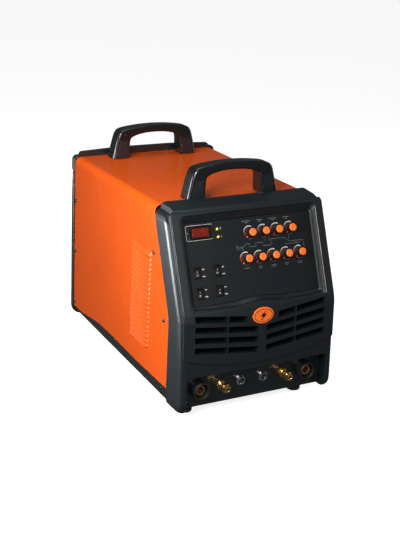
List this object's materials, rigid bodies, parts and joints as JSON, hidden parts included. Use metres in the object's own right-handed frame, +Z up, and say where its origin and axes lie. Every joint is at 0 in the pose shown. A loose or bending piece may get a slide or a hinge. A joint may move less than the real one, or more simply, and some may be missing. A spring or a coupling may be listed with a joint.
{
  "type": "tig welding machine",
  "caption": "Portable inverter welding power source: sheet metal case with a moulded front panel, knobs, sockets and two carry handles.",
  "frame": {"origin": "bottom centre of the whole machine, on the plane its four feet stand on", "axes": "+X to the right seen from the front, +Y from front to rear, +Z up"},
  "size_m": [0.346, 0.5426, 0.469],
  "materials": {
    "cover_paint": "glossy orange paint on folded sheet steel",
    "pan_paint": "satin black paint on sheet steel",
    "moulding": "charcoal moulded plastic with a fine grain",
    "panel_face": "matt dark panel film",
    "meter_black": "black meter surround",
    "meter_red": "red tinted window",
    "lamp_yellow": "yellow lamp lens",
    "knob_black": "satin black knob",
    "switch_black": "black switch plastic",
    "switch_red": "red switch knob",
    "insulator": "black glass filled plastic",
    "brass": "turned brass",
    "bright_nickel": "nickel plated metal",
    "orange_plastic": "orange plastic",
    "rubber": "black rubber",
    "steel": "zinc plated steel",
    "aluminium": "extruded aluminium",
    "core_steel": "varnished laminated core",
    "winding": "varnished copper winding",
    "board_green": "circuit board",
    "valve_brass": "cast brass"
  },
  "bodies": {
    "housing": {"arc_starter": "winding", "badge": "orange_plastic", "base_pan": "pan_paint", "cable_gland": "insulator", "control_board": "board_green", "control_panel": "panel_face", "control_socket_left": "bright_nickel", "control_socket_right": "bright_nickel", "coupler_body_left": "brass", "coupler_body_right": "brass", "deck_plate": "steel", "dinse_insert_left": "brass", "dinse_insert_right": "brass", "dinse_insulator_left": "insulator", "dinse_insulator_right": "insulator", "display_bezel": "meter_black", "display_window": "meter_red", "earth_stud": "steel", "fan_frame": "insulator", "fan_guard": "steel", "front_fascia": "moulding", "gas_inlet": "brass", "gas_valve": "valve_brass", "handle_front": "moulding", "handle_rear": "moulding", "heatsink": "aluminium", "indicator_lamp_1": "lamp_yellow", "indicator_lamp_2": "lamp_yellow", "inverter_board": "board_green", "main_transformer": "core_steel", "mains_switch_body": "switch_black", "outer_cover": "cover_paint", "output_inductor": "winding", "rear_bezel": "moulding", "rear_panel": "pan_paint", "rocker_housing_1": "switch_black", "rocker_housing_2": "switch_black", "rocker_housing_3": "switch_black", "rocker_housing_4": "switch_black", "rubber_foot_1": "rubber", "rubber_foot_2": "rubber", "rubber_foot_3": "rubber", "rubber_foot_4": "rubber"},
    "knob_top_1": {"knob_top_1": "knob_black"},
    "knob_top_2": {"knob_top_2": "knob_black"},
    "knob_top_3": {"knob_top_3": "knob_black"},
    "knob_top_4": {"knob_top_4": "knob_black"},
    "knob_low_1": {"knob_low_1": "knob_black"},
    "knob_low_2": {"knob_low_2": "knob_black"},
    "knob_low_3": {"knob_low_3": "knob_black"},
    "knob_low_4": {"knob_low_4": "knob_black"},
    "knob_low_5": {"knob_low_5": "knob_black"},
    "rocker_1": {"rocker_1": "switch_black"},
    "rocker_2": {"rocker_2": "switch_black"},
    "rocker_3": {"rocker_3": "switch_black"},
    "rocker_4": {"rocker_4": "switch_black"},
    "coupler_collar_left": {"coupler_collar_left": "brass"},
    "coupler_collar_right": {"coupler_collar_right": "brass"},
    "mains_switch_knob": {"mains_switch_knob": "switch_red"},
    "fan_rotor": {"fan_rotor": "insulator"}
  },
  "joints": [
    {"name": "knob_top_1_turn", "type": "hinge", "parent": "housing", "child": "knob_top_1", "pos_m": [-0.001, -0.20529, 0.35059], "axis": [0, 0.9272, -0.3746], "range_deg": [0, 280]},
    {"name": "knob_top_2_turn", "type": "hinge", "parent": "housing", "child": "knob_top_2", "pos_m": [0.029, -0.20529, 0.35059], "axis": [0, 0.9272, -0.3746], "range_deg": [-68, 212]},
    {"name": "knob_top_3_turn", "type": "hinge", "parent": "housing", "child": "knob_top_3", "pos_m": [0.059, -0.20529, 0.35059], "axis": [0, 0.9272, -0.3746], "range_deg": [0, 280]},
    {"name": "knob_top_4_turn", "type": "hinge", "parent": "housing", "child": "knob_top_4", "pos_m": [0.089, -0.20529, 0.35059], "axis": [0, 0.9272, -0.3746], "range_deg": [0, 280]},
    {"name": "knob_low_1_turn", "type": "hinge", "parent": "housing", "child": "knob_low_1", "pos_m": [-0.016, -0.22346, 0.30562], "axis": [0, 0.9272, -0.3746], "range_deg": [0, 280]},
    {"name": "knob_low_2_turn", "type": "hinge", "parent": "housing", "child": "knob_low_2", "pos_m": [0.014, -0.22346, 0.30562], "axis": [0, 0.9272, -0.3746], "range_deg": [0, 280]},
    {"name": "knob_low_3_turn", "type": "hinge", "parent": "housing", "child": "knob_low_3", "pos_m": [0.044, -0.22346, 0.30562], "axis": [0, 0.9272, -0.3746], "range_deg": [0, 280]},
    {"name": "knob_low_4_turn", "type": "hinge", "parent": "housing", "child": "knob_low_4", "pos_m": [0.074, -0.22346, 0.30562], "axis": [0, 0.9272, -0.3746], "range_deg": [0, 280]},
    {"name": "knob_low_5_turn", "type": "hinge", "parent": "housing", "child": "knob_low_5", "pos_m": [0.104, -0.22346, 0.30562], "axis": [0, 0.9272, -0.3746], "range_deg": [0, 280]},
    {"name": "rocker_1_tilt", "type": "hinge", "parent": "housing", "child": "rocker_1", "pos_m": [-0.123, -0.22147, 0.28918], "axis": [1, 0, 0], "range_deg": [-18, 0]},
    {"name": "rocker_2_tilt", "type": "hinge", "parent": "housing", "child": "rocker_2", "pos_m": [-0.081, -0.22147, 0.28918], "axis": [1, 0, 0], "range_deg": [-18, 0]},
    {"name": "rocker_3_tilt", "type": "hinge", "parent": "housing", "child": "rocker_3", "pos_m": [-0.123, -0.23571, 0.25395], "axis": [1, 0, 0], "range_deg": [-18, 0]},
    {"name": "rocker_4_tilt", "type": "hinge", "parent": "housing", "child": "rocker_4", "pos_m": [-0.081, -0.23571, 0.25395], "axis": [1, 0, 0], "range_deg": [-18, 0]},
    {"name": "coupler_collar_left_slide", "type": "slide", "parent": "housing", "child": "coupler_collar_left", "axis": [0, 1, 0], "range_m": [0, 0.004], "stiffness_N_per_m": 500, "springref_m": -0.002},
    {"name": "coupler_collar_right_slide", "type": "slide", "parent": "housing", "child": "coupler_collar_right", "axis": [0, 1, 0], "range_m": [0, 0.004], "stiffness_N_per_m": 500, "springref_m": -0.002},
    {"name": "mains_switch_turn", "type": "hinge", "parent": "housing", "child": "mains_switch_knob", "pos_m": [-0.095, 0.262, 0.32], "axis": [0, -1, 0], "range_deg": [0, 90]},
    {"name": "fan_spin", "type": "hinge", "parent": "housing", "child": "fan_rotor", "pos_m": [0, 0.2345, 0.16], "axis": [0, 1, 0], "continuous": true}
  ]
}
